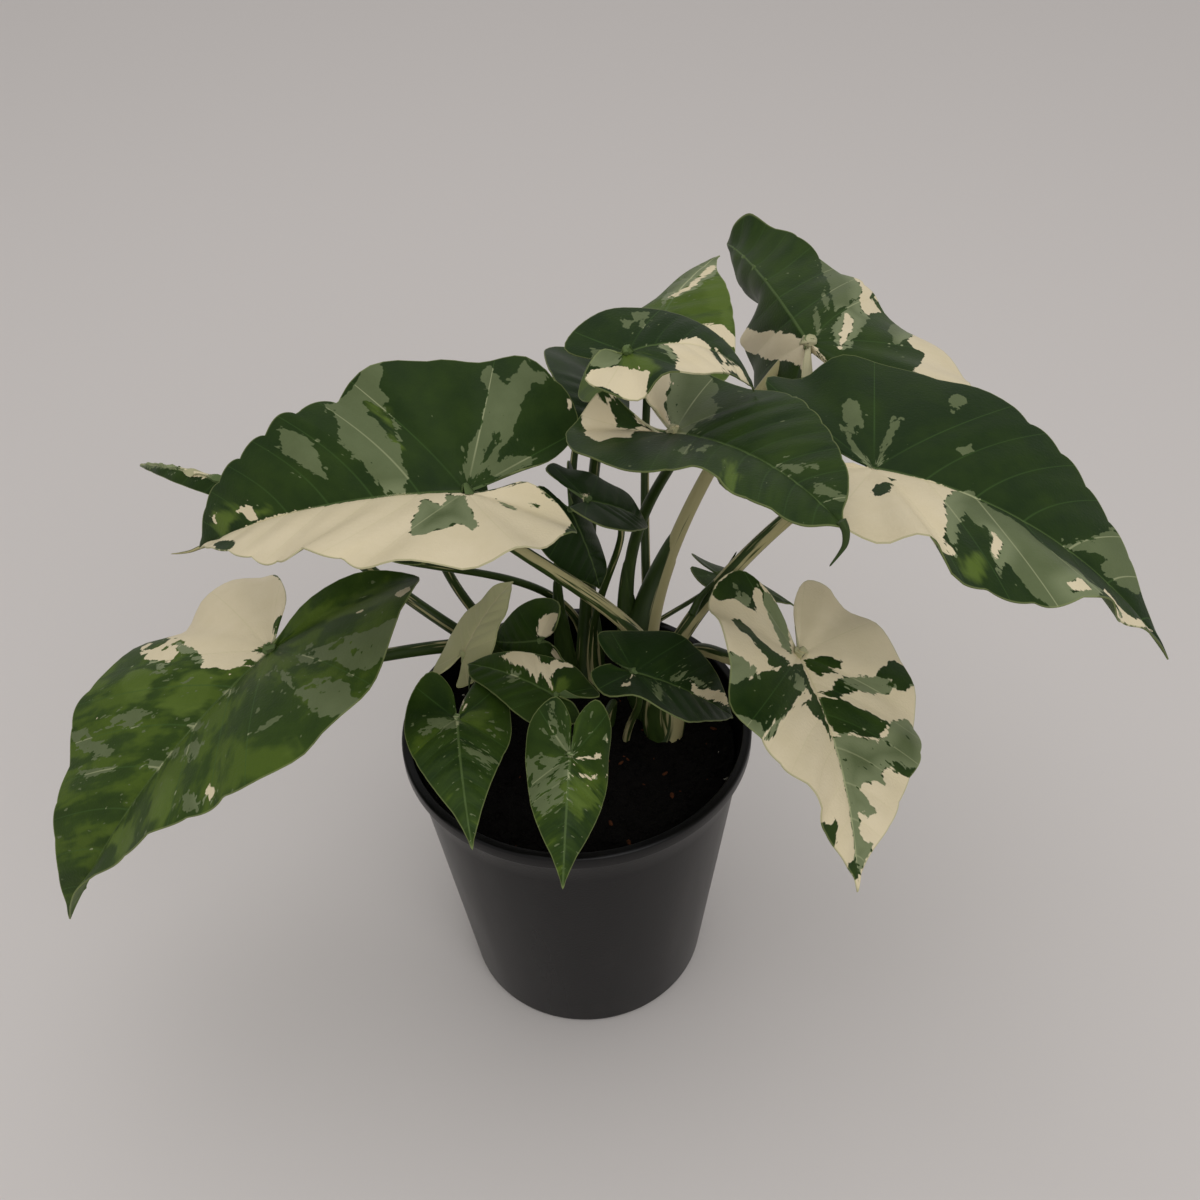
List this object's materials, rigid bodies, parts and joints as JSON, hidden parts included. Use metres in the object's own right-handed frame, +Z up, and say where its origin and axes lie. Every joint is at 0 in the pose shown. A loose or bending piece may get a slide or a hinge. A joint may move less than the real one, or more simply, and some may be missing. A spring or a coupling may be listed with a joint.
{
  "type": "potted variegated alocasia",
  "caption": "Arrow-leaved aroid house plant with silver and cream marked leaves on arching stalks, growing in soil in a black round nursery pot.",
  "frame": {"origin": "centre of the pot's flat underside", "axes": "+Z up out of the pot, -Y towards the side that the large young leaves lean to, +X to the right seen from there"},
  "size_m": [0.5691, 0.4134, 0.4308],
  "materials": {
    "pot": "moulded black polypropylene, satin",
    "soil": "dark crumbly potting mix with bark and pumice",
    "crown": "striped green and brown leaf sheaths, satin",
    "leaf": "waxy green blade with silver and cream sectors",
    "pale_leaf": "waxy cream and grey-green blade"
  },
  "bodies": {
    "root": {"pot": "pot", "soil": "soil", "crown_right": "crown", "crown_back": "crown", "leaf_upper_left": "leaf", "leaf_upper_right": "leaf", "leaf_top_right": "leaf", "leaf_centre": "leaf", "leaf_lower_right": "leaf", "leaf_top_back": "leaf", "young_leaf_right": "leaf", "leaf_lower_left": "leaf", "leaf_top_centre": "leaf", "leaf_back_centre": "leaf", "leaf_inner": "leaf", "leaf_inner_hanging": "leaf", "leaf_far_left": "leaf", "leaf_behind_left": "leaf", "leaf_under_left": "leaf", "young_leaf_front_left": "leaf", "young_leaf_front": "leaf", "young_leaf_centre_left": "leaf", "young_leaf_centre_right": "leaf", "young_leaf_pale": "pale_leaf", "young_leaf_back": "leaf"}
  },
  "joints": []
}
